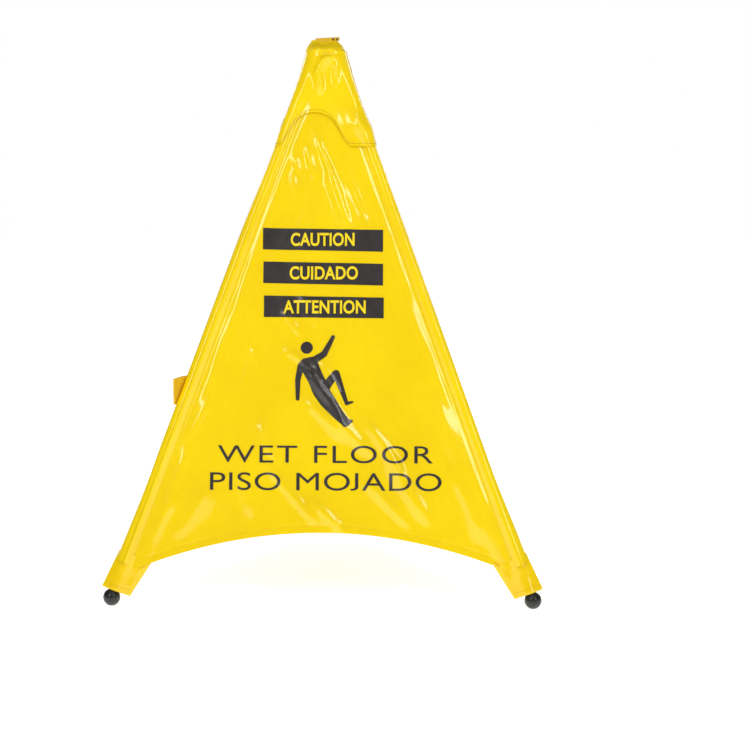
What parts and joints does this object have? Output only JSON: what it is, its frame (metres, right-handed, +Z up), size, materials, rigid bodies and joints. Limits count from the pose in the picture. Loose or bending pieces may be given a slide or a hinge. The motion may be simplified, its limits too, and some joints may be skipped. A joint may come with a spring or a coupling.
{
  "type": "pop-up wet floor sign",
  "caption": "Three-sided fabric floor warning sign on a folding tripod that springs open, with ball feet, stitched leg pockets, a sewn top and a closing strap.",
  "frame": {"origin": "on the floor, at the middle of the footprint's bounding box", "axes": "+Z up. The front panel faces -Y, between the left foot at -X and the right foot at +X, and the rear leg points to +Y"},
  "size_m": [0.5934, 0.5134, 0.762],
  "materials": {
    "cover_fabric": "gloss coated",
    "strap_webbing": "satin",
    "fastener_tape": "matte",
    "foot_rubber": "satin",
    "leg_tube": "satin",
    "hub_plastic": "matte",
    "steel": "bright"
  },
  "bodies": {
    "hub_and_cover": {"hub_body": "hub_plastic", "hub_cap": "hub_plastic", "cap_screw": "steel", "hinge_pin_left": "steel", "hinge_pin_right": "steel", "hinge_pin_rear": "steel", "torsion_spring_left": "steel", "torsion_spring_right": "steel", "torsion_spring_rear": "steel", "cover_panel_front": "cover_fabric", "cover_panel_right": "cover_fabric", "cover_panel_left": "cover_fabric", "top_yoke": "cover_fabric", "top_fold": "cover_fabric", "pull_tab": "strap_webbing", "tab_rivets": "steel", "closing_strap": "strap_webbing", "strap_hook_pad": "fastener_tape", "strap_loop_pad": "fastener_tape"},
    "leg_left": {"leg_knuckle_left": "hub_plastic", "leg_tube_left": "leg_tube", "ball_foot_left": "foot_rubber", "leg_sleeve_left": "cover_fabric", "leg_cuff_left": "cover_fabric"},
    "leg_right": {"leg_knuckle_right": "hub_plastic", "leg_tube_right": "leg_tube", "ball_foot_right": "foot_rubber", "leg_sleeve_right": "cover_fabric", "leg_cuff_right": "cover_fabric"},
    "leg_rear": {"leg_knuckle_rear": "hub_plastic", "leg_tube_rear": "leg_tube", "ball_foot_rear": "foot_rubber", "leg_sleeve_rear": "cover_fabric", "leg_cuff_rear": "cover_fabric"}
  },
  "joints": [
    {"name": "leg_left_fold", "type": "hinge", "parent": "hub_and_cover", "child": "leg_left", "pos_m": [-0.01949, -0.093, 0.726], "axis": [0.5, -0.866, 0], "range_deg": [0, 23], "stiffness_Nm_per_rad": 0.4, "springref_deg": -68.75, "deforming": ["torsion_spring_left", "leg_cuff_left"]},
    {"name": "leg_right_fold", "type": "hinge", "parent": "hub_and_cover", "child": "leg_right", "pos_m": [0.01949, -0.093, 0.726], "axis": [0.5, 0.866, 0], "range_deg": [0, 23], "stiffness_Nm_per_rad": 0.4, "springref_deg": -68.75, "deforming": ["torsion_spring_right", "leg_cuff_right"]},
    {"name": "leg_rear_fold", "type": "hinge", "parent": "hub_and_cover", "child": "leg_rear", "pos_m": [0, -0.05925, 0.726], "axis": [-1, 0, 0], "range_deg": [0, 23], "stiffness_Nm_per_rad": 0.4, "springref_deg": -68.75, "deforming": ["torsion_spring_rear", "leg_cuff_rear"]}
  ],
  "couplings": [
    {"joint": "leg_right_fold", "follows": "leg_left_fold", "ratio": 1},
    {"joint": "leg_rear_fold", "follows": "leg_left_fold", "ratio": 1}
  ]
}
